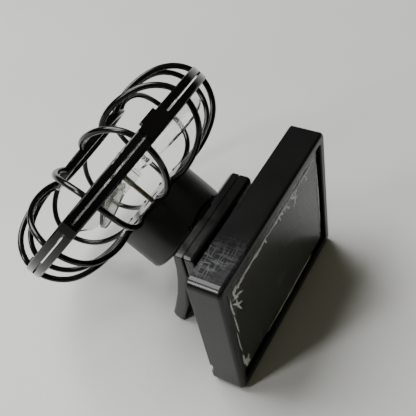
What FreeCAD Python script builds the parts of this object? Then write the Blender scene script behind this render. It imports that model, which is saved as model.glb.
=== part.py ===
import FreeCAD, Part
import math
import os

# Small clip-on fan driven by a solar panel. Millimetres, +Z up.
# The flat solar case stands on its bottom edge with the panel facing +Y. A spring clip is
# screwed to the case's back. The round motor pod, the wire cage and the fan sit on the clip's
# outer jaw and face -Y and upwards.
# Shapes are drawn with y = 0 on the case's back face and moved by Y_SHIFT at the end.

V = FreeCAD.Vector
OUT = "parts"

# ---- solar case ----
CASE_W = 60.0
CASE_H = 46.33
CASE_D = 9.67
CASE_CORNER_R = 2.4
CASE_BACK_R = 0.35
CASE_SEAM_Y = 3.3
CASE_WALL = 1.7
BEZEL_W = 3.0
POCKET_FLOOR_Y = 6.2
PANEL_TOP_Y = 8.65
PANEL_GAP = 0.5

# ---- clip ----
JAW_HALF_W = 16.7
JAW_TOP_Z = 34.33
MOUTH_Y = -11.28
MOUTH_GAP = 0.26
PIVOT_Y = -5.4
PIVOT_Z = 18.6
PIN_R = 1.1
EAR_R = 2.7
RUN_CLEAR = 0.05

# ---- fan head ----
HEAD_Y = -42.37
HEAD_Z = 39.95
TILT_UP_DEG = 39.56
RIM_R = 37.35
RIM_RADIAL = 2.1
RIM_AXIAL = 2.15
RIM_SEAM = 0.5
LATCH_WIDE = (24.0, 144.0, 264.0)
LATCH_NARROW = (90.0, 210.0, 330.0)
LATCH_WIDE_HALF = 4.5
LATCH_NARROW_HALF = 1.45
LATCH_GAP = 0.15
RIB_R = 0.84
RIB_COUNT = 12
RIB_PHASE = 15.0
FRONT_SWIRL = -20.0
REAR_SWIRL = -8.0
FRONT_RIB = [(36.4, 1.3), (35.3, 4.8), (32.2, 8.5), (26.5, 11.2), (20.5, 11.9), (16.4, 11.3), (14.0, 10.4)]
REAR_RIB = [(36.4, -1.3), (35.2, -5.3), (32.0, -9.4), (26.3, -12.3), (20.2, -13.5), (14.0, -13.12)]
GRILLE_RING_R = 14.0
GRILLE_RING_S = 10.4
POD_R = 14.2
POD_FRONT_S = -12.6
POD_SPLIT_S = -14.0
POD_REAR_S = -27.2
POD_CAVITY_S = -23.9
POD_WALL = 1.5
POD_JAW_GAP = 0.35
TILT_RANGE_DEG = 10.0

# ---- tilt hinge between pod and outer jaw ----
HINGE_Y = -14.9
HINGE_Z = 31.6
HINGE_R = 1.9
HINGE_PIN_R = 0.75
LUG_HALF_W = 3.0

# ---- motor and fan ----
SHAFT_R = 0.75
SHAFT_CLEAR = 0.03
CAN_R = 11.9
CAN_FRONT_S = -14.2
CAN_REAR_S = -22.4
BLADE_COUNT = 3
BLADE_PHASE = 110.0
BLADE_MID_S = -2.2
BLADE_T = 0.9
HUB_R = 4.0

# Moves the whole fan so that its bounding box is centred on the origin.
Y_SHIFT = 30.104


# ---------------------------------------------------------------- helpers
def box(x0, x1, y0, y1, z0, z1):
    return Part.makeBox(x1 - x0, y1 - y0, z1 - z0, V(x0, y0, z0))


def x_cylinder(radius, x0, x1, y, z):
    return Part.makeCylinder(radius, x1 - x0, V(x0, y, z), V(1, 0, 0))


def y_cylinder(radius, y0, y1, x, z):
    return Part.makeCylinder(radius, y1 - y0, V(x, y0, z), V(0, 1, 0))


def s_cylinder(radius, s0, s1, x=0.0, y=0.0):
    return Part.makeCylinder(radius, s1 - s0, V(x, y, s0), V(0, 0, 1))


def s_tube(r_out, r_in, s0, s1):
    return s_cylinder(r_out, s0, s1).cut(s_cylinder(r_in, s0 - 1, s1 + 1))


def x_prism(points, x0, x1):
    """Solid whose outline is a closed list of (y, z) points, from x0 to x1."""
    corners = [V(x0, y, z) for y, z in points]
    face = Part.Face(Part.makePolygon(corners + [corners[0]]))
    return face.extrude(V(x1 - x0, 0, 0))


def rounded_slab(x0, x1, y0, y1, z0, z1, radius):
    """Box whose four edges along Y are rounded."""
    body = box(x0, x1, y0, y1, z0, z1)
    edges = [e for e in body.Edges if abs(e.BoundBox.YLength - (y1 - y0)) < 1e-6]
    return body.makeFillet(radius, edges)


def edges_at_y(shape, y, longer_than=0.0):
    return [e for e in shape.Edges
            if abs(e.BoundBox.YMin - y) < 1e-4 and abs(e.BoundBox.YMax - y) < 1e-4
            and e.Length > longer_than]


def edges_at_x(shape, x):
    return [e for e in shape.Edges
            if abs(e.BoundBox.XMin - x) < 1e-4 and abs(e.BoundBox.XMax - x) < 1e-4]


def head_placement():
    """Fan head frame: local Z is the fan axis towards its front, local X is the row's -X."""
    a = math.radians(TILT_UP_DEG)
    x_dir = V(-1, 0, 0)
    z_dir = V(0, -math.cos(a), math.sin(a))
    y_dir = z_dir.cross(x_dir)
    return FreeCAD.Placement(V(0, HEAD_Y, HEAD_Z), FreeCAD.Rotation(x_dir, y_dir, z_dir, "ZXY"))


def in_head(shape):
    moved = shape.copy()
    moved.Placement = head_placement().multiply(moved.Placement)
    return moved


def ring_points(profile, phase, swirl):
    """Points of one rib. Each profile entry is (radius, height along the axis)."""
    r0 = profile[0][0]
    r1 = profile[-1][0]
    points = []
    for r, s in profile:
        a = math.radians(phase + swirl * (r0 - r) / (r0 - r1))
        points.append(V(r * math.cos(a), r * math.sin(a), s))
    return points


def swept_wire(points, radius):
    """Round wire through the points."""
    curve = Part.BSplineCurve()
    curve.interpolate(points)
    path = Part.Wire([curve.toShape()])
    start = curve.value(curve.FirstParameter)
    along = curve.tangent(curve.FirstParameter)[0]
    section = Part.Wire([Part.makeCircle(radius, start, along)])
    return path.makePipeShell([section], True, True)


def bead(points, radius):
    """Fat line of glue: balls joined by round bars."""
    parts = [Part.makeSphere(radius, V(*p)) for p in points]
    for a, b in zip(points[:-1], points[1:]):
        d = V(*b) - V(*a)
        parts.append(Part.makeCylinder(radius, d.Length, V(*a), d))
    return parts[0].multiFuse(parts[1:])


# ---------------------------------------------------------------- solar case
def case_back():
    """Back tray with the clip's screw holes, a pry slot and a lip for the front frame."""
    hw = CASE_W / 2
    body = rounded_slab(-hw, hw, 0, CASE_SEAM_Y, 0, CASE_H, CASE_CORNER_R)
    body = body.makeFillet(CASE_BACK_R, edges_at_y(body, 0))
    inner = rounded_slab(-hw + CASE_WALL, hw - CASE_WALL, CASE_WALL, CASE_SEAM_Y + 1,
                         CASE_WALL, CASE_H - CASE_WALL, 1.2)
    body = body.cut(inner)
    lip = rounded_slab(-hw + CASE_WALL, hw - CASE_WALL, CASE_WALL - 0.2, CASE_SEAM_Y + 1.2,
                       CASE_WALL, CASE_H - CASE_WALL, 1.2)
    lip = lip.cut(rounded_slab(-hw + CASE_WALL + 1, hw - CASE_WALL - 1, 0, 10,
                               CASE_WALL + 1, CASE_H - CASE_WALL - 1, 0.6))
    body = body.fuse(lip)
    for x in (-5.5, 5.5):
        body = body.cut(y_cylinder(1.15, -1, 3, x, 27.0))
    body = body.cut(y_cylinder(1.3, -1, 3, 0, 27.0))
    slot = box(hw - 1.0, hw + 1, -1.0, 0.95, 4.6, 8.3)
    return body.cut(slot).removeSplitter()


def case_front():
    """Front frame: side walls, bezel and the pocket the panel lies in."""
    hw = CASE_W / 2
    body = rounded_slab(-hw, hw, CASE_SEAM_Y, CASE_D, 0, CASE_H, CASE_CORNER_R)
    body = body.makeFillet(1.1, edges_at_y(body, CASE_D))
    step = 0.05
    body = body.cut(rounded_slab(-hw + CASE_WALL - step, hw - CASE_WALL + step, CASE_SEAM_Y - 1, 5.0,
                                 CASE_WALL - step, CASE_H - CASE_WALL + step, 1.2))
    pocket = rounded_slab(-hw + BEZEL_W, hw - BEZEL_W, POCKET_FLOOR_Y, CASE_D + 1,
                          BEZEL_W, CASE_H - BEZEL_W, 0.8)
    body = body.cut(pocket)
    body = body.cut(box(-23, 23, 4, 8, 7, CASE_H - 7))
    inner = [e for e in edges_at_y(body, CASE_D)
             if e.BoundBox.XMax < hw - 2 and e.BoundBox.XMin > -hw + 2
             and e.BoundBox.ZMin > 2 and e.BoundBox.ZMax < CASE_H - 2]
    return body.makeFillet(0.6, inner)


def panel_board():
    hw = CASE_W / 2 - BEZEL_W - PANEL_GAP
    return box(-hw, hw, POCKET_FLOOR_Y, POCKET_FLOOR_Y + 1.2,
               BEZEL_W + PANEL_GAP, CASE_H - BEZEL_W - PANEL_GAP)


def solar_cells():
    """Four wafers side by side on the board."""
    x0 = -CASE_W / 2 + BEZEL_W + PANEL_GAP + 1.4
    x1 = -x0
    z0 = BEZEL_W + PANEL_GAP + 1.4
    z1 = CASE_H - z0
    gap = 0.45
    width = (x1 - x0 - 3 * gap) / 4
    y0 = POCKET_FLOOR_Y + 1.2
    return Part.makeCompound([box(x0 + i * (width + gap), x0 + i * (width + gap) + width,
                                  y0, y0 + 0.35, z0, z1) for i in range(4)])


def panel_resin():
    """Clear resin poured over the wafers."""
    hw = CASE_W / 2 - BEZEL_W - PANEL_GAP
    y0 = POCKET_FLOOR_Y + 1.2
    slab = box(-hw, hw, y0, PANEL_TOP_Y, BEZEL_W + PANEL_GAP, CASE_H - BEZEL_W - PANEL_GAP)
    slab = slab.makeFillet(0.5, edges_at_y(slab, PANEL_TOP_Y))
    return slab.cut(solar_cells())


def panel_tabs():
    """Two soldered tabs on the back of the board."""
    y1 = POCKET_FLOOR_Y
    return Part.makeCompound([box(x - 1.5, x + 1.5, y1 - 0.6, y1, 28.0, 32.0) for x in (-6.0, 6.0)])


def case_leads():
    """The panel's two thin wires, inside the case, down to the hole in its back."""
    leads = []
    for side in (-1, 1):
        points = [V(6.0 * side, 5.1, 29.5), V(4.2 * side, 4.4, 28.6), V(1.8 * side, 3.4, 27.6),
                  V(0.58 * side, 2.0, 27.0), V(0.58 * side, 0.4, 27.0)]
        leads.append(swept_wire(points, 0.42))
    return Part.makeCompound(leads)


def glue_beads():
    """Smeared glue round the panel's edge, in a few irregular lines."""
    y = PANEL_TOP_Y - 0.05
    top = CASE_H - BEZEL_W - PANEL_GAP
    side = CASE_W / 2 - BEZEL_W - PANEL_GAP
    lines = [
        ([(-25.0, y, top - 0.6), (-12.0, y, top - 0.9), (1.0, y, top - 0.5), (13.0, y, top - 1.0)], 0.55),
        ([(14.5, y, top - 0.8), (19.0, y, top - 1.6), (24.0, y, top - 1.2)], 0.75),
        ([(21.0, y, top - 2.0), (18.2, y, top - 6.5)], 0.4),
        ([(22.5, y, top - 2.2), (22.0, y, top - 8.0)], 0.45),
        ([(23.6, y, top - 3.0), (25.0, y, top - 7.0), (24.2, y, top - 10.5)], 0.5),
        ([(side - 0.9, y, 31.0), (side - 1.2, y, 22.0), (side - 0.8, y, 13.5)], 0.45),
        ([(side - 1.5, y, 9.5), (side - 3.0, y, 6.0), (side - 1.6, y, 5.2)], 0.8),
        ([(-side + 0.9, y, 36.0), (-side + 1.3, y, 24.0), (-side + 0.8, y, 11.0)], 0.45),
    ]
    keep = box(-side + 0.1, side - 0.1, PANEL_TOP_Y, CASE_D - 0.25, BEZEL_W + 0.6, CASE_H - BEZEL_W - 0.6)
    return Part.makeCompound([bead(p, r).common(keep) for p, r in lines])


# ---------------------------------------------------------------- clip
def rear_jaw():
    """Inner jaw: plate, spacer block against the case, two ears for the pivot pin."""
    y0 = MOUTH_Y + MOUTH_GAP / 2
    y1 = -7.7
    plate = box(-JAW_HALF_W, JAW_HALF_W, y0, y1, 24.4, JAW_TOP_Z)
    top = [e for e in plate.Edges
           if abs(e.BoundBox.ZMin - JAW_TOP_Z) < 1e-6 and abs(e.BoundBox.YMin - y1) < 1e-6]
    plate = plate.makeFillet(1.3, top)
    for x in (-JAW_HALF_W, JAW_HALF_W):
        plate = plate.makeFillet(0.9, edges_at_x(plate, x))
    body = plate.fuse(box(-11.2, 11.2, y0, y1, 15.9, 26.0))
    body = body.fuse(box(-9.0, 9.0, y1 - 0.5, 0, 22.9, 31.0))
    for x0 in (-11.2, 8.6):
        body = body.fuse(box(x0, x0 + 2.6, y0 + 1, PIVOT_Y, PIVOT_Z - EAR_R, PIVOT_Z + EAR_R))
        body = body.fuse(x_cylinder(EAR_R, x0, x0 + 2.6, PIVOT_Y, PIVOT_Z))
    body = body.cut(x_cylinder(PIN_R, -20, 20, PIVOT_Y, PIVOT_Z))
    for x in (-5.5, 5.5):
        body = body.cut(y_cylinder(0.85, -6.6, 1, x, 27.0))
    return body.cut(y_cylinder(1.3, -6.6, 1, 0, 27.0)).removeSplitter()


def jaw_screws():
    """Two screws from inside the case into the inner jaw's block."""
    screws = []
    for x in (-5.5, 5.5):
        head = y_cylinder(1.9, CASE_WALL, CASE_WALL + 1.3, x, 27.0)
        shank = y_cylinder(0.85, -6.2, CASE_WALL + 0.2, x, 27.0)
        cross = box(x - 1.1, x + 1.1, CASE_WALL + 0.8, 4, 26.8, 27.2)
        cross = cross.fuse(box(x - 0.2, x + 0.2, CASE_WALL + 0.8, 4, 25.9, 28.1))
        screws.append(head.fuse(shank).cut(cross))
    return Part.makeCompound(screws)


def pivot_pin():
    """Steel pin with a head on each end, on which the outer jaw turns."""
    pin = x_cylinder(PIN_R, -14.8, 14.8, PIVOT_Y, PIVOT_Z)
    for x0 in (-15.5, 14.75):
        pin = pin.fuse(x_cylinder(1.75, x0, x0 + 0.75, PIVOT_Y, PIVOT_Z))
    return pin


def clip_spring():
    """Torsion spring round the pin, with two short legs."""
    wire_r = 0.42
    coil_r = 1.74
    turns = 6.0
    pitch = 1.0
    points = []
    steps = int(turns * 10)
    points.append(V(-3.0, PIVOT_Y + coil_r, PIVOT_Z - 3.4))
    points.append(V(-3.0, PIVOT_Y + coil_r, PIVOT_Z - 1.7))
    for i in range(steps + 1):
        a = 2 * math.pi * turns * i / steps
        points.append(V(-3.0 + pitch * turns * i / steps, PIVOT_Y + coil_r * math.cos(a),
                        PIVOT_Z + coil_r * math.sin(a)))
    points.append(V(3.0, PIVOT_Y + coil_r + 0.1, PIVOT_Z + 1.8))
    points.append(V(3.0, PIVOT_Y + coil_r + 0.1, PIVOT_Z + 3.4))
    return swept_wire(points, wire_r)


def front_jaw():
    """Outer jaw: lever plate that flares into a foot, two ears, knuckles for the pod."""
    y_in = MOUTH_Y - MOUTH_GAP / 2
    outline = [(-13.5, JAW_TOP_Z), (-14.45, 33.5), (-14.75, 31.6), (-14.85, 28.0), (-15.75, 22.0),
               (-17.6, 14.0), (-19.9, 6.7), (-21.4, 2.6), (-20.9, 0.9), (-19.4, 0.0), (-17.9, 0.0),
               (-17.3, 2.4), (-14.65, 9.8), (-12.6, 20.5), (y_in, 25.5), (y_in, JAW_TOP_Z)]
    plate = x_prism(outline, -JAW_HALF_W, JAW_HALF_W)
    for x in (-JAW_HALF_W, JAW_HALF_W):
        plate = plate.makeFillet(0.8, edges_at_x(plate, x))
    body = plate
    for x0 in (-14.4, 11.55):
        body = body.fuse(box(x0, x0 + 2.85, -13.5, PIVOT_Y, PIVOT_Z - EAR_R, PIVOT_Z + EAR_R))
        body = body.fuse(x_cylinder(EAR_R, x0, x0 + 2.85, PIVOT_Y, PIVOT_Z))
    body = body.cut(x_cylinder(PIN_R + RUN_CLEAR, -20, 20, PIVOT_Y, PIVOT_Z))
    notch_r = HINGE_R + 0.3
    half = LUG_HALF_W + 0.15
    for x0 in (-6.4, half):
        body = body.fuse(x_cylinder(HINGE_R, x0, x0 + 6.4 - half, HINGE_Y, HINGE_Z))
    notch = x_cylinder(notch_r, -half, half, HINGE_Y, HINGE_Z)
    notch = notch.fuse(box(-half, half, HINGE_Y - 6, HINGE_Y + notch_r - 0.4, HINGE_Z, 40))
    body = body.cut(notch)
    return body.cut(x_cylinder(HINGE_PIN_R, -7, 7, HINGE_Y, HINGE_Z)).removeSplitter()


def tilt_pin():
    return x_cylinder(HINGE_PIN_R, -6.4, 6.4, HINGE_Y, HINGE_Z)


# ---------------------------------------------------------------- fan head
def ribs(profile, swirl):
    made = []
    for i in range(RIB_COUNT):
        phase = RIB_PHASE + 360.0 * i / RIB_COUNT
        made.append(swept_wire(ring_points(profile, phase, swirl), RIB_R))
    return made


def rim(s0, s1, round_s):
    """Flat hoop of the cage, its outward edge rounded."""
    hoop = s_tube(RIM_R, RIM_R - RIM_RADIAL, s0, s1)
    edges = [e for e in hoop.Edges
             if abs(e.BoundBox.ZMin - round_s) < 1e-4 and abs(e.BoundBox.ZMax - round_s) < 1e-4
             and e.BoundBox.XLength > 1]
    return hoop.makeFillet(0.55, edges)


def sector_block(r0, r1, s0, s1, centre_deg, half_width):
    """Block across the hoop at an angle, its long side along the hoop."""
    block = Part.makeBox(r1 - r0, 2 * half_width, s1 - s0, V(r0, -half_width, s0))
    block.rotate(V(0, 0, 0), V(0, 0, 1), centre_deg)
    return block


def latch_notches():
    """Places in the rear hoop where the front half's latches sit."""
    cuts = []
    for angles, half in ((LATCH_WIDE, LATCH_WIDE_HALF), (LATCH_NARROW, LATCH_NARROW_HALF)):
        for deg in angles:
            cuts.append(sector_block(RIM_R - 1.1, RIM_R + 2, -1.9, 1.0, deg, half + LATCH_GAP))
    return cuts


def front_hoop():
    """Hoop of the cage's front half, with six latches over the seam."""
    s0 = RIM_SEAM / 2
    hoop = rim(s0, s0 + RIM_AXIAL, s0 + RIM_AXIAL)
    s1 = s0 + RIM_AXIAL
    latches = []
    for deg in LATCH_WIDE:
        latches.append(sector_block(RIM_R - 1.0, RIM_R + 0.35, -1.8, s1 - 0.1, deg, LATCH_WIDE_HALF))
        latches.append(sector_block(RIM_R - 1.5, RIM_R + 0.3, s0 + 1, s1 + 0.8, deg, 2.6))
    for deg in LATCH_NARROW:
        latches.append(sector_block(RIM_R - 1.0, RIM_R + 0.35, -1.8, s1 - 0.1, deg, LATCH_NARROW_HALF))
    return hoop.multiFuse(latches)


def front_ring():
    """Open ring in the middle of the cage's front."""
    ring = s_tube(GRILLE_RING_R + 1.05, GRILLE_RING_R - 1.05, GRILLE_RING_S - 1.1, GRILLE_RING_S + 1.1)
    return ring.makeFillet(0.45, [e for e in ring.Edges if e.BoundBox.XLength > 1
                                  and e.BoundBox.ZLength < 1e-4])


def front_ribs():
    """Swirling wires whose ends are buried in the front hoop and in the open ring."""
    return Part.makeCompound(ribs(FRONT_RIB, FRONT_SWIRL))


def rear_hoop():
    """Hoop of the cage's rear half, notched where the latches sit."""
    s1 = -RIM_SEAM / 2
    hoop = rim(s1 - RIM_AXIAL, s1, s1 - RIM_AXIAL)
    notches = latch_notches()
    return hoop.cut(notches[0].multiFuse(notches[1:]))


def pod_plate():
    """Round plate at the back of the cage that closes the motor housing."""
    plate = s_cylinder(POD_R, POD_SPLIT_S, POD_FRONT_S)
    plate = plate.makeFillet(0.5, [e for e in plate.Edges if abs(e.BoundBox.ZMin - POD_FRONT_S) < 1e-4])
    return plate.cut(s_cylinder(3.2, -20, -10))


def rear_ribs():
    """Wires whose ends are buried in the rear hoop and in the pod's plate."""
    return Part.makeCompound(ribs(REAR_RIB, REAR_SWIRL))


def jaw_room():
    """Space behind the pod kept free for the outer jaw."""
    g = POD_JAW_GAP
    outline = [(-14.45 - g, 44.0), (-14.45 - g, 33.5), (-14.75 - g, 31.6), (-14.85 - g, 28.0),
               (-15.75 - g, 22.0), (-17.6 - g, 14.0), (-19.9 - g, 6.7), (-19.9 - g, 0.0), (4.0, 0.0), (4.0, 44.0)]
    return x_prism(outline, -20, 20)


def pod_shell():
    """Round motor housing with a closed rear wall and the lug of the tilt hinge."""
    body = s_cylinder(POD_R, POD_REAR_S, POD_SPLIT_S)
    body = body.makeFillet(1.6, [e for e in body.Edges if abs(e.BoundBox.ZMax - POD_REAR_S) < 1e-4])
    body = body.cut(s_cylinder(POD_R - POD_WALL, POD_CAVITY_S, 0))
    body = in_head(body)
    tilted = jaw_room()
    tilted.rotate(V(0, HINGE_Y, HINGE_Z), V(1, 0, 0), -TILT_RANGE_DEG)
    body = body.cut(jaw_room()).cut(tilted)
    a = math.radians(TILT_UP_DEG)
    forward = V(0, -math.cos(a), math.sin(a))
    hinge = V(0, HINGE_Y, HINGE_Z)
    neck = Part.makeBox(2 * LUG_HALF_W, 2 * HINGE_R, 2.2, V(-LUG_HALF_W, -HINGE_R, 0))
    rot = FreeCAD.Rotation(V(1, 0, 0), forward.cross(V(1, 0, 0)), forward, "ZXY")
    neck.Placement = FreeCAD.Placement(hinge, rot)
    body = body.fuse(neck)
    body = body.fuse(x_cylinder(HINGE_R, -LUG_HALF_W, LUG_HALF_W, HINGE_Y, HINGE_Z))
    for x0, x1 in ((-6.8, -LUG_HALF_W), (LUG_HALF_W, 6.8)):
        body = body.cut(x_cylinder(HINGE_R + 0.35, x0, x1, HINGE_Y, HINGE_Z))
    return body.cut(x_cylinder(HINGE_PIN_R + RUN_CLEAR, -7, 7, HINGE_Y, HINGE_Z)).removeSplitter()


# ---------------------------------------------------------------- motor
def motor_can():
    can = s_cylinder(CAN_R, CAN_REAR_S, CAN_FRONT_S).cut(s_cylinder(CAN_R - 0.5, CAN_REAR_S - 1, CAN_FRONT_S - 0.5))
    can = can.fuse(s_cylinder(3.0, CAN_FRONT_S - 0.3, CAN_FRONT_S + 1.2))
    return in_head(can.cut(s_cylinder(2.0, -30, 0)))


def bearing_front():
    return in_head(s_tube(2.0, SHAFT_R + SHAFT_CLEAR, CAN_FRONT_S - 1.2, CAN_FRONT_S + 1.4))


def motor_end_cap():
    cap = s_cylinder(CAN_R - 0.5, CAN_REAR_S, CAN_REAR_S + 1.3)
    return in_head(cap.cut(s_cylinder(1.8, -30, 0)))


def bearing_rear():
    return in_head(s_tube(1.8, SHAFT_R + SHAFT_CLEAR, CAN_REAR_S - 0.2, CAN_REAR_S + 1.5))


def magnet_ring():
    return in_head(s_tube(CAN_R - 0.5, 9.6, -20.9, -14.9))


def motor_terminals():
    tabs = [Part.makeBox(1.8, 0.4, 1.4, V(x - 0.9, 6.2, CAN_REAR_S - 1.4)) for x in (-4.5, 4.5)]
    return in_head(Part.makeCompound(tabs))


def pod_leads():
    """Two thin wires coiled behind the motor, inside the pod."""
    leads = []
    for side in (-1, 1):
        points = [V(5.78 * side, 6.9, -23.2), V(5.8 * side, 3.0, -23.25),
                  V(4.6 * side, -2.0, -23.25), V(1.6 * side, -5.0, -23.25)]
        leads.append(swept_wire(points, 0.35))
    return in_head(Part.makeCompound(leads))


def rotor_core():
    """Three-armed laminated core."""
    core = s_cylinder(3.0, -19.2, -16.2)
    for i in range(3):
        arm = Part.makeBox(6.6, 2.4, 3.0, V(2.0, -1.2, -19.2))
        shoe = s_tube(9.2, 7.9, -19.2, -16.2).common(Part.makeBox(12, 12.4, 8, V(2, -6.2, -22)))
        arm = arm.fuse(shoe)
        arm.rotate(V(0, 0, 0), V(0, 0, 1), 120.0 * i)
        core = core.fuse(arm)
    return in_head(core.cut(s_cylinder(SHAFT_R, -30, 0)))


def rotor_windings():
    """Copper coil round each arm of the core."""
    coils = []
    for i in range(3):
        coil = Part.makeBox(3.9, 5.0, 4.4, V(3.6, -2.5, -19.9))
        coil = coil.makeFillet(0.8, [e for e in coil.Edges if e.BoundBox.XLength > 3])
        coil = coil.cut(Part.makeBox(8, 2.4, 3.0, V(2.0, -1.2, -19.2)))
        coil.rotate(V(0, 0, 0), V(0, 0, 1), 120.0 * i)
        coils.append(coil)
    return in_head(Part.makeCompound(coils))


def commutator():
    return in_head(s_tube(1.7, SHAFT_R, -20.7, -19.25))


def motor_shaft():
    return in_head(s_cylinder(SHAFT_R, CAN_REAR_S - 0.3, -1.4))


# ---------------------------------------------------------------- fan
def blade_section(r, chord, pitch_deg, camber):
    """Thin curved strip across the blade at one radius, in the plane x = r."""
    b = math.radians(pitch_deg)
    across = V(0, math.cos(b), math.sin(b))
    lift = V(0, -math.sin(b), math.cos(b))
    mid = V(r, 0, BLADE_MID_S)
    h = chord / 2
    t = BLADE_T / 2
    a0 = mid - across * h - lift * t
    a1 = mid - lift * t + lift * camber
    a2 = mid + across * h - lift * t
    b2 = mid + across * h + lift * t
    b1 = mid + lift * t + lift * camber
    b0 = mid - across * h + lift * t
    edges = [Part.Arc(a0, a1, a2).toShape(), Part.makeLine(a2, b2),
             Part.Arc(b2, b1, b0).toShape(), Part.makeLine(b0, a0)]
    return Part.Wire(edges)


def impeller():
    """Hub and three twisted blades in one clear moulding."""
    hub = s_cylinder(HUB_R, -5.8, -0.9)
    hub = hub.makeFillet(0.8, [e for e in hub.Edges if abs(e.BoundBox.ZMin + 0.9) < 1e-4])
    blades = []
    sections = [(3.0, 6.0, 44.0, 0.4), (9.0, 11.5, 39.0, 0.9), (18.0, 17.5, 32.0, 1.5),
                (27.0, 19.5, 27.0, 1.6), (32.0, 15.0, 24.0, 1.0)]
    for i in range(BLADE_COUNT):
        blade = Part.makeLoft([blade_section(*s) for s in sections], True, False)
        blade.rotate(V(0, 0, 0), V(0, 0, 1), BLADE_PHASE + 360.0 * i / BLADE_COUNT)
        blades.append(blade)
    body = hub.multiFuse(blades)
    return in_head(body.cut(s_cylinder(SHAFT_R, -10, -1.4)))


PARTS = {
    "case_back": case_back,
    "case_front": case_front,
    "panel_board": panel_board,
    "solar_cells": solar_cells,
    "panel_resin": panel_resin,
    "panel_tabs": panel_tabs,
    "case_leads": case_leads,
    "glue_beads": glue_beads,
    "clip_rear_jaw": rear_jaw,
    "jaw_screws": jaw_screws,
    "pivot_pin": pivot_pin,
    "clip_spring": clip_spring,
    "clip_front_jaw": front_jaw,
    "tilt_pin": tilt_pin,
    "front_hoop": lambda: in_head(front_hoop()),
    "front_ribs": lambda: in_head(front_ribs()),
    "front_ring": lambda: in_head(front_ring()),
    "rear_hoop": lambda: in_head(rear_hoop()),
    "rear_ribs": lambda: in_head(rear_ribs()),
    "pod_plate": lambda: in_head(pod_plate()),
    "pod_shell": pod_shell,
    "motor_can": motor_can,
    "bearing_front": bearing_front,
    "motor_end_cap": motor_end_cap,
    "bearing_rear": bearing_rear,
    "magnet_ring": magnet_ring,
    "motor_terminals": motor_terminals,
    "pod_leads": pod_leads,
    "rotor_core": rotor_core,
    "rotor_windings": rotor_windings,
    "commutator": commutator,
    "motor_shaft": motor_shaft,
    "impeller": impeller,
}

os.makedirs(OUT, exist_ok=True)
for name, make in PARTS.items():
    shape = make()
    shape.translate(V(0, Y_SHIFT, 0))
    shape.exportStep(OUT + "/" + name + ".step")
    bb = shape.BoundBox
    print(name, shape.isValid(), len(shape.Solids), round(shape.Volume, 1),
          [round(v, 2) for v in (bb.XMin, bb.XMax, bb.YMin, bb.YMax, bb.ZMin, bb.ZMax)])
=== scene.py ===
import math
import random

import bmesh
import bpy
from mathutils import Matrix, Vector


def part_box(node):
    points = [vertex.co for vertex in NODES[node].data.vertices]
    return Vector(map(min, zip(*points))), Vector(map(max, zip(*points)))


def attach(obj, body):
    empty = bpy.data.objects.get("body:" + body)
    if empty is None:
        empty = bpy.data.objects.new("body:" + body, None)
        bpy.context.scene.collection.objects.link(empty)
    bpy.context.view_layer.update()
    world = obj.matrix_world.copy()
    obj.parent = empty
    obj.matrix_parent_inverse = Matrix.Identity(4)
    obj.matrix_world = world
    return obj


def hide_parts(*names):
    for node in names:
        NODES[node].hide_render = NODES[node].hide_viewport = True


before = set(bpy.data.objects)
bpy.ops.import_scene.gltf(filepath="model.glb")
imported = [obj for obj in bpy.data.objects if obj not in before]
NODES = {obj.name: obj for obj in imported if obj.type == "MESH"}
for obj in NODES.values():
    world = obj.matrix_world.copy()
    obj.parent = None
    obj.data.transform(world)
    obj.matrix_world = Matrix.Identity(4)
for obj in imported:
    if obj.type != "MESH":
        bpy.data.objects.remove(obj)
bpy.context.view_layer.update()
MM = 0.001


# ---------------------------------------------------------------- camera
# Metres, in the CAD's frame. The camera stands above the panel's corner and looks down at the fan.
CAMERA_POS = Vector((0.1018, 0.1014, 0.1765))
CAMERA_FORWARD = Vector((-0.52921, -0.43472, -0.72866))
CAMERA_UP = Vector((-0.69422, -0.27192, 0.66642))
CAMERA_LENS = 60.41
SENSOR_WIDTH = 36.0
CLIP_START = 0.005


def add_camera():
    data = bpy.data.cameras.new("camera")
    data.sensor_width = SENSOR_WIDTH
    data.lens = CAMERA_LENS
    data.clip_start = CLIP_START
    data.dof.use_dof = False
    camera = bpy.data.objects.new("camera", data)
    bpy.context.scene.collection.objects.link(camera)
    back = -CAMERA_FORWARD
    right = CAMERA_UP.cross(back).normalized()
    up = back.cross(right).normalized()
    turn = Matrix((right, up, back)).transposed().to_4x4()
    camera.matrix_world = Matrix.Translation(CAMERA_POS) @ turn
    bpy.context.scene.camera = camera


# ---------------------------------------------------------------- material helpers
# Sockets of the Mix node when it mixes colours.
MIX_FACTOR = 0
MIX_A = 6
MIX_B = 7
MIX_RESULT = 2


def feed(tree, socket, value):
    """Gives a socket a node's output, a colour or a number."""
    if hasattr(value, "is_output"):
        tree.links.new(value, socket)
    elif isinstance(value, tuple):
        socket.default_value = (*value, 1.0)
    else:
        socket.default_value = value


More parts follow.
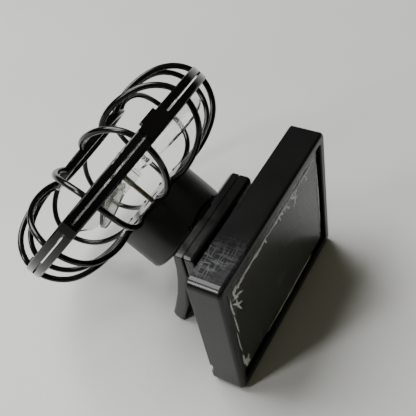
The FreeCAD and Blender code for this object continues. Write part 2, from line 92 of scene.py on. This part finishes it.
class Shader:
    """Short way to build one node material."""

    def __init__(self, name):
        self.mat = bpy.data.materials.new(name)
        self.mat.use_nodes = True
        self.tree = self.mat.node_tree
        self.bsdf = self.tree.nodes["Principled BSDF"]
        self.coord = self.tree.nodes.new("ShaderNodeTexCoord").outputs["Object"]

    def set(self, **values):
        for key, value in values.items():
            self.bsdf.inputs[key.replace("_", " ")].default_value = value
        return self

    def link(self, output, target):
        self.tree.links.new(output, self.bsdf.inputs[target])

    def scaled(self, scale):
        node = self.tree.nodes.new("ShaderNodeMapping")
        node.inputs["Scale"].default_value = scale
        self.tree.links.new(self.coord, node.inputs["Vector"])
        return node.outputs["Vector"]

    def noise(self, scale, detail=4.0, stretch=None, distortion=0.0):
        node = self.tree.nodes.new("ShaderNodeTexNoise")
        node.inputs["Scale"].default_value = scale
        node.inputs["Detail"].default_value = detail
        node.inputs["Distortion"].default_value = distortion
        source = self.scaled(stretch) if stretch else self.coord
        self.tree.links.new(source, node.inputs["Vector"])
        return node.outputs["Fac"]

    def ramp(self, value, stops):
        """stops: (position, (r, g, b)) or (position, grey)."""
        node = self.tree.nodes.new("ShaderNodeValToRGB")
        elements = node.color_ramp.elements
        while len(elements) < len(stops):
            elements.new(0.5)
        for element, (position, colour) in zip(elements, stops):
            if not isinstance(colour, tuple):
                colour = (colour, colour, colour)
            element.position = position
            element.color = (*colour, 1.0)
        self.tree.links.new(value, node.inputs["Fac"])
        return node.outputs["Color"]

    def mix(self, fac, a, b):
        node = self.tree.nodes.new("ShaderNodeMix")
        node.data_type = "RGBA"
        for index, value in ((MIX_FACTOR, fac), (MIX_A, a), (MIX_B, b)):
            feed(self.tree, node.inputs[index], value)
        return node.outputs[MIX_RESULT]

    def math(self, operation, a, b):
        node = self.tree.nodes.new("ShaderNodeMath")
        node.operation = operation
        node.use_clamp = True
        for socket, value in zip(node.inputs, (a, b)):
            feed(self.tree, socket, value)
        return node.outputs[0]

    def axis(self, name):
        node = self.tree.nodes.new("ShaderNodeSeparateXYZ")
        self.tree.links.new(self.coord, node.inputs[0])
        return node.outputs[name]

    def bump(self, height, strength, distance):
        node = self.tree.nodes.new("ShaderNodeBump")
        node.inputs["Strength"].default_value = strength
        node.inputs["Distance"].default_value = distance
        self.tree.links.new(height, node.inputs["Height"])
        self.tree.links.new(node.outputs["Normal"], self.bsdf.inputs["Normal"])
        return self


# Noise scales are per metre. Bump depths are in metres.
TONE_SCALE = 60.0
GLOSS_SCALE = 140.0
GRAIN_SCALE = 900.0
CAGE_GRAIN_SCALE = 600.0
CASE_GRAIN_SCALE = 700.0
GRAIN_DEPTH = 0.00006
CAGE_IOR_LEVEL = 0.36
CASE_IOR_LEVEL = 0.26


def moulded_black(name, base, rough, grain=GRAIN_SCALE, grain_strength=0.12):
    """Moulded plastic: uneven black, patchy gloss, fine grain."""
    s = Shader(name)
    low = tuple(c * 0.75 for c in base)
    high = tuple(c * 1.45 for c in base)
    s.link(s.ramp(s.noise(TONE_SCALE, 5.0), [(0.3, low), (0.75, high)]), "Base Color")
    gloss = [(0.3, rough * 0.82), (0.75, rough * 1.22)]
    s.link(s.ramp(s.noise(GLOSS_SCALE, 6.0), gloss), "Roughness")
    s.bump(s.noise(grain, 3.0), grain_strength, GRAIN_DEPTH)
    return s


def scratches(s, scale, stretch, width):
    """Thin bright streaks: 1 on a scratch."""
    lines = s.noise(scale, 2.0, stretch=stretch, distortion=0.4)
    return s.ramp(lines, [(0.5 - width, 0.0), (0.5, 1.0), (0.5 + width, 0.0)])


# Where the case's top is scuffed, in metres. Along X, scuffs start between the first two
# numbers, and they stop short of the rounded end. Down from the top, they fade out.
SCUFF_X_START = 0.014
SCUFF_X_FULL = 0.0205
SCUFF_END_FULL = 0.0034
SCUFF_END_NONE = 0.0024
SCUFF_TOP_NONE = 0.0016
SCUFF_TOP_FULL = 0.0006
SCUFF_COLOUR = (0.07, 0.074, 0.078)
SCUFF_ROUGHNESS = (0.4, 0.4, 0.4)


def scuff_amount(s):
    """1 on the crossed scuffs on the case's top close to its +X end, 0 elsewhere."""
    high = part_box("case_front")[1]
    near_end = s.ramp(s.axis("X"), [
        (0.0, 0.0), (SCUFF_X_START, 0.0), (SCUFF_X_FULL, 0.8),
        (high.x - SCUFF_END_FULL, 1.0), (high.x - SCUFF_END_NONE, 0.0)])
    near_top = s.ramp(s.axis("Z"), [
        (0.0, 0.0), (high.z - SCUFF_TOP_NONE, 0.0), (high.z - SCUFF_TOP_FULL, 1.0)])
    along = scratches(s, 220.0, (0.5, 5.0, 1.0), 0.04)
    across = scratches(s, 260.0, (5.0, 0.5, 1.0), 0.045)
    patch = s.ramp(s.noise(150.0, 3.0), [(0.40, 0.25), (0.58, 1.0)])
    lines = s.math("MULTIPLY", s.math("ADD", along, across), patch)
    return s.math("MULTIPLY", lines, s.math("MULTIPLY", near_end, near_top))


def case_material():
    """Glossy black case plastic, scuffed on its top close to one end."""
    s = Shader("case_plastic_worn")
    amount = scuff_amount(s)
    base = s.ramp(s.noise(TONE_SCALE, 5.0), [
        (0.3, (0.0045, 0.0045, 0.005)), (0.75, (0.009, 0.009, 0.0095))])
    rough = s.ramp(s.noise(GLOSS_SCALE, 6.0), [(0.3, 0.13), (0.75, 0.2)])
    s.link(s.mix(amount, base, SCUFF_COLOUR), "Base Color")
    s.link(s.mix(amount, rough, SCUFF_ROUGHNESS), "Roughness")
    s.bump(s.noise(CASE_GRAIN_SCALE, 3.0), 0.04, GRAIN_DEPTH)
    return s.set(Specular_IOR_Level=CASE_IOR_LEVEL).mat


WAFER_LINE_SCALE = 160.0


def cells_material():
    """Near-black wafers with a faint green to blue cast and fine level lines."""
    s = Shader("dark_wafer")
    tint = s.ramp(s.noise(35.0, 3.0), [
        (0.25, (0.004, 0.007, 0.005)), (0.6, (0.007, 0.010, 0.008)), (0.85, (0.008, 0.010, 0.013))])
    wave = s.tree.nodes.new("ShaderNodeTexWave")
    wave.bands_direction = "Z"
    wave.inputs["Scale"].default_value = WAFER_LINE_SCALE
    s.tree.links.new(s.coord, wave.inputs["Vector"])
    lines = s.ramp(wave.outputs["Fac"], [(0.93, 0.0), (0.99, 0.35)])
    s.link(s.mix(lines, tint, (0.022, 0.025, 0.022)), "Base Color")
    s.link(s.ramp(s.noise(90.0, 4.0), [(0.3, 0.16), (0.7, 0.3)]), "Roughness")
    return s.set(Coat_Weight=0.15, Coat_Roughness=0.1).mat


def resin_material():
    """Clear cover over the wafers, a little hazy and finely scratched."""
    s = Shader("worn_resin")
    haze = s.ramp(s.noise(45.0, 5.0), [(0.35, (0.80, 0.84, 0.80)), (0.75, (0.90, 0.92, 0.88))])
    s.link(haze, "Base Color")
    fine = scratches(s, 120.0, (1.0, 1.0, 6.0), 0.008)
    rough = s.ramp(s.noise(80.0, 4.0), [(0.3, 0.06), (0.7, 0.13)])
    s.link(s.mix(fine, rough, (0.25, 0.25, 0.25)), "Roughness")
    s.bump(s.noise(18.0, 1.0), 0.04, 0.0002)
    return s.set(Transmission_Weight=0.95, IOR=1.45).mat


def clear_blade_material():
    """Clear plastic, faintly cloudy and not quite even."""
    s = Shader("clear_blade")
    tone = [(0.3, (0.76, 0.78, 0.74)), (0.75, (0.88, 0.90, 0.86))]
    s.link(s.ramp(s.noise(70.0, 4.0), tone), "Base Color")
    s.link(s.ramp(s.noise(90.0, 3.0), [(0.3, 0.05), (0.7, 0.12)]), "Roughness")
    s.bump(s.noise(40.0, 1.0), 0.02, 0.00015)
    return s.set(Transmission_Weight=0.94, IOR=1.2).mat


def glue_material():
    """Whitish hot glue, waxy and lumpy."""
    s = Shader("hot_glue")
    tone = [(0.3, (0.62, 0.63, 0.60)), (0.7, (0.88, 0.88, 0.85))]
    s.link(s.ramp(s.noise(260.0, 5.0), tone), "Base Color")
    s.link(s.ramp(s.noise(400.0, 4.0), [(0.3, 0.28), (0.7, 0.55)]), "Roughness")
    s.bump(s.noise(500.0, 4.0), 0.5, 0.0002)
    return s.mat


def metal_material(name, dark, light, rough, stretch=(1.0, 8.0, 8.0)):
    """Metal with drawn-out marks along X, or as stretch says."""
    s = Shader(name)
    s.link(s.ramp(s.noise(300.0, 5.0, stretch=stretch), [(0.3, dark), (0.75, light)]), "Base Color")
    gloss = [(0.3, rough * 0.7), (0.75, rough * 1.4)]
    s.link(s.ramp(s.noise(500.0, 4.0, stretch=stretch), gloss), "Roughness")
    s.bump(s.noise(700.0, 3.0, stretch=stretch), 0.15, 0.00005)
    return s.set(Metallic=1.0).mat


MATTE_SCALE = 200.0


def matte_material(name, dark, light, rough):
    """Dull surface, mottled between two colours."""
    s = Shader(name)
    s.link(s.ramp(s.noise(MATTE_SCALE, 5.0), [(0.3, dark), (0.7, light)]), "Base Color")
    gloss = [(0.3, rough * 0.85), (0.7, rough * 1.15)]
    s.link(s.ramp(s.noise(MATTE_SCALE * 2, 4.0), gloss), "Roughness")
    s.bump(s.noise(MATTE_SCALE * 4, 3.0), 0.2, 0.0001)
    return s.mat


def dress(names, material):
    """Gives CAD nodes one material."""
    for name in names:
        node = NODES[name]
        node.data.materials.clear()
        node.data.materials.append(material)
        node.data.polygons.foreach_set("material_index", [0] * len(node.data.polygons))


# ---------------------------------------------------------------- pieces
def new_piece(name, bm, material, body):
    """Smooth-shaded piece that rides on a body and takes the given material."""
    mesh = bpy.data.meshes.new(name)
    bm.to_mesh(mesh)
    bm.free()
    for polygon in mesh.polygons:
        polygon.use_smooth = True
    mesh.materials.append(material)
    piece = bpy.data.objects.new(name, mesh)
    bpy.context.scene.collection.objects.link(piece)
    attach(piece, body)
    return piece


SMEAR_STEPS = 14
SMEAR_RING = 8
SMEAR_WANDER = 0.18
SMEAR_THINNEST = 0.12


def smear(bm, rng, start, end, width, height, bend):
    """One irregular stroke of glue lying on the panel, from start to end in the XZ plane."""
    direction = end - start
    side = Vector((-direction.z, 0.0, direction.x)).normalized()
    rows = []
    for i in range(SMEAR_STEPS + 1):
        t = i / SMEAR_STEPS
        centre = start + direction * t + side * bend * math.sin(math.pi * t)
        centre = centre + side * rng.uniform(-SMEAR_WANDER, SMEAR_WANDER) * width
        taper = max(SMEAR_THINNEST, math.sin(math.pi * min(max(t, 0.04), 0.96)) ** 0.5)
        half = width * taper * rng.uniform(0.6, 1.25) / 2
        tall = height * taper * rng.uniform(0.55, 1.15)
        row = []
        for k in range(SMEAR_RING):
            a = math.pi * k / (SMEAR_RING - 1)
            out = side * half * math.cos(a) + Vector((0.0, tall * math.sin(a), 0.0))
            row.append(bm.verts.new(centre + out))
        rows.append(row)
    for a, b in zip(rows[:-1], rows[1:]):
        for k in range(SMEAR_RING - 1):
            bm.faces.new((a[k], a[k + 1], b[k + 1], b[k]))
        bm.faces.new((a[0], b[0], b[-1], a[-1]))
    bm.faces.new(rows[0])
    bm.faces.new(list(reversed(rows[-1])))


GLUE_SEED = 7
GLUE_SINK = 0.00004
GLUE_HEIGHT = 0.35
DRIP_COUNT = 26
DRIP_HEIGHT = 0.2


def glue_strokes(r, t, b):
    """Strokes in millimetres, where r is the panel's half width, t its top and b its bottom.

    Each is x, z at one end, x, z at the other, width, height and bend.
    """
    return (
        # along the top
        (-r + 1, t - 2.6, -8.0, t - 3.2, 1.0, GLUE_HEIGHT, 0.0),
        (-9.5, t - 3.2, 6.0, t - 3.4, 1.1, GLUE_HEIGHT, 0.0),
        (5.0, t - 3.3, 16.0, t - 3.8, 1.1, 0.4, 0.0),
        (14.0, t - 3.6, r - 2.5, t - 4.2, 1.1, 0.4, 0.0),
        # runs down from it
        (-18.0, t - 3.0, -19.5, t - 6.5, 0.8, 0.3, 0.3),
        (-12.0, t - 3.0, -10.4, t - 8.5, 1.0, 0.35, -0.3),
        (-9.0, t - 3.2, -12.6, t - 6.6, 0.8, 0.3, 0.0),
        (-6.0, t - 3.2, -8.0, t - 6.6, 0.7, 0.3, 0.0),
        # crossed strokes in the upper +X corner
        (23.8, t - 4.0, 22.0, t - 8.0, 0.9, 0.35, 0.4),
        (24.4, t - 6.5, 19.8, t - 8.0, 0.8, 0.35, -0.3),
        (23.0, t - 7.5, 21.6, t - 13.5, 0.8, 0.35, 0.5),
        (24.9, t - 7.5, 20.6, t - 11.5, 0.7, 0.3, 0.3),
        # down the +X side, with a blob in its lower corner
        (25.4, t - 5.0, 24.9, t - 12.0, 0.7, 0.3, 0.4),
        (25.4, t - 11.5, 24.9, t - 20.0, 0.6, 0.25, 0.0),
        (25.6, t - 19.0, 25.2, t - 29.0, 0.45, 0.2, 0.3),
        (25.4, b + 9.0, 25.6, b + 4.0, 0.9, 0.4, 0.0),
        (25.2, b + 5.8, 22.8, b + 2.2, 1.5, 0.5, 0.5),
        (23.0, b + 5.6, 24.8, b + 1.8, 1.3, 0.5, 0.4),
        # down the -X side and along the bottom
        (-r + 0.9, t - 6.0, -r + 1.2, b + 4.0, 0.7, GLUE_HEIGHT, 0.0),
        (-18.0, b + 0.9, 12.0, b + 0.8, 0.6, GLUE_HEIGHT, 0.0),
    )


def add_glue(material):
    """Glue round the panel's edges, with short drips below the line along its top."""
    rng = random.Random(GLUE_SEED)
    low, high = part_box("panel_resin")
    y = high.y - GLUE_SINK
    top = high.z / MM
    bm = bmesh.new()

    def stroke(x0, z0, x1, z1, width, height, bend=0.0):
        smear(bm, rng, Vector((x0 * MM, y, z0 * MM)), Vector((x1 * MM, y, z1 * MM)),
              width * MM, height * MM, bend * MM)

    for numbers in glue_strokes(high.x / MM, top, low.z / MM):
        stroke(*numbers)
    for _ in range(DRIP_COUNT):
        x = rng.uniform(-16.0, 24.0)
        z = top - rng.uniform(2.8, 4.0)
        stroke(x, z, x + rng.uniform(-1.2, 1.2), z - rng.uniform(0.6, 2.2),
               rng.uniform(0.3, 0.6), DRIP_HEIGHT)
    bmesh.ops.recalc_face_normals(bm, faces=bm.faces)
    glue = new_piece("glue_smears", bm, material, "case")
    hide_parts("glue_beads")


# ---------------------------------------------------------------- stage
# Metres.
FLOOR_HALF_SIZE = 1.6
FLOOR_CELLS = 8
FLOOR_DROP = 0.0002
# Height above the horizon, as the sine of its angle, and the light's strength there.
SKY_STOPS = ((0.05, 0.012), (0.5, 0.05), (1.0, 0.2))
SKY_TINT = (1.0, 0.98, 0.7)
BACKDROP_COLOUR = (0.62, 0.62, 0.61)
# Position, aim, size in metres, and power in watts.
KEY_LIGHT = ((-0.06, -0.52, 0.83), (0.0, 0.02, 0.02), (0.72, 0.66), 16.0)
WINDOW_LIGHT = ((0.56, -0.30, 0.56), (0.03, 0.035, 0.045), (0.11, 0.40), 3.0)


def add_floor():
    bm = bmesh.new()
    bmesh.ops.create_grid(bm, x_segments=FLOOR_CELLS, y_segments=FLOOR_CELLS, size=FLOOR_HALF_SIZE)
    mesh = bpy.data.meshes.new("floor")
    bm.to_mesh(mesh)
    bm.free()
    s = Shader("pale_floor")
    pale = [(0.3, (0.56, 0.56, 0.55)), (0.75, (0.60, 0.60, 0.59))]
    s.link(s.ramp(s.noise(14.0, 4.0), pale), "Base Color")
    s.set(Roughness=0.42, Specular_IOR_Level=0.35)
    mesh.materials.append(s.mat)
    floor = bpy.data.objects.new("floor", mesh)
    floor.location.z = -FLOOR_DROP
    bpy.context.scene.collection.objects.link(floor)


def add_light(name, position, target, size, power):
    data = bpy.data.lights.new(name, "AREA")
    data.shape = "RECTANGLE"
    data.size, data.size_y = size
    data.energy = power
    light = bpy.data.objects.new(name, data)
    light.location = position
    aim = Vector(target) - Vector(position)
    light.rotation_euler = aim.to_track_quat("-Z", "Y").to_euler()
    bpy.context.scene.collection.objects.link(light)


def add_world():
    """Dim light that grows towards the zenith. The camera itself sees a plain pale backdrop."""
    world = bpy.data.worlds.new("studio")
    world.use_nodes = True
    tree = world.node_tree
    coord = tree.nodes.new("ShaderNodeTexCoord").outputs["Generated"]
    height = tree.nodes.new("ShaderNodeSeparateXYZ")
    tree.links.new(coord, height.inputs[0])
    sky = tree.nodes.new("ShaderNodeValToRGB")
    elements = sky.color_ramp.elements
    elements.new(0.5)
    for element, (position, strength) in zip(elements, SKY_STOPS):
        element.position = position
        element.color = (*(strength * tint for tint in SKY_TINT), 1.0)
    tree.links.new(height.outputs["Z"], sky.inputs["Fac"])
    is_camera = tree.nodes.new("ShaderNodeLightPath").outputs["Is Camera Ray"]
    seen = tree.nodes.new("ShaderNodeMix")
    seen.data_type = "RGBA"
    for index, value in ((MIX_FACTOR, is_camera), (MIX_A, sky.outputs["Color"]), (MIX_B, BACKDROP_COLOUR)):
        feed(tree, seen.inputs[index], value)
    tree.links.new(seen.outputs[MIX_RESULT], tree.nodes["Background"].inputs["Color"])
    bpy.context.scene.world = world


add_camera()
add_world()
add_floor()
add_light("key", *KEY_LIGHT)
add_light("window", *WINDOW_LIGHT)

clip_mat = moulded_black("clip_plastic_moulded", (0.005, 0.005, 0.0055), 0.19, grain_strength=0.06).mat
cage_shader = moulded_black("cage_plastic_moulded", (0.003, 0.003, 0.0033), 0.17,
                            CAGE_GRAIN_SCALE, 0.04)
cage_mat = cage_shader.set(Specular_IOR_Level=CAGE_IOR_LEVEL).mat
pod_mat = moulded_black("pod_plastic_moulded", (0.005, 0.005, 0.0055), 0.36).mat
steel_mat = metal_material("pin_steel", (0.30, 0.30, 0.31), (0.55, 0.55, 0.56), 0.3)
shaft_mat = metal_material("brown_shaft", (0.12, 0.105, 0.08), (0.27, 0.24, 0.19), 0.35)
zinc_mat = metal_material("motor_zinc", (0.38, 0.38, 0.38), (0.6, 0.6, 0.6), 0.38)
brass_mat = metal_material("bearing_brass", (0.42, 0.30, 0.12), (0.68, 0.52, 0.25), 0.32)
copper_mat = metal_material("winding_copper", (0.36, 0.12, 0.05), (0.62, 0.28, 0.14), 0.34,
                            (1.0, 1.0, 20.0))
board_mat = matte_material("board_laminate", (0.015, 0.03, 0.018), (0.03, 0.05, 0.03), 0.55)
ferrite_mat = matte_material("ferrite", (0.02, 0.02, 0.02), (0.05, 0.05, 0.05), 0.7)
nylon_mat = matte_material("nylon", (0.6, 0.59, 0.55), (0.75, 0.74, 0.7), 0.5)
lead_mat = matte_material("lead_cover", (0.2, 0.02, 0.015), (0.34, 0.04, 0.03), 0.45)

dress(["case_back", "case_front"], case_material())
dress(["clip_rear_jaw", "clip_front_jaw"], clip_mat)
dress(["front_hoop", "front_ribs", "front_ring", "rear_hoop", "rear_ribs", "pod_plate"], cage_mat)
dress(["pod_shell"], pod_mat)
dress(["panel_board"], board_mat)
dress(["solar_cells"], cells_material())
dress(["panel_resin"], resin_material())
dress(["impeller"], clear_blade_material())
dress(["jaw_screws", "pivot_pin", "tilt_pin", "clip_spring"], steel_mat)
dress(["motor_shaft"], shaft_mat)
dress(["motor_can", "rotor_core"], zinc_mat)
dress(["bearing_front", "bearing_rear", "motor_terminals", "panel_tabs"], brass_mat)
dress(["rotor_windings", "commutator"], copper_mat)
dress(["magnet_ring"], ferrite_mat)
dress(["motor_end_cap"], nylon_mat)
dress(["case_leads", "pod_leads"], lead_mat)
add_glue(glue_material())
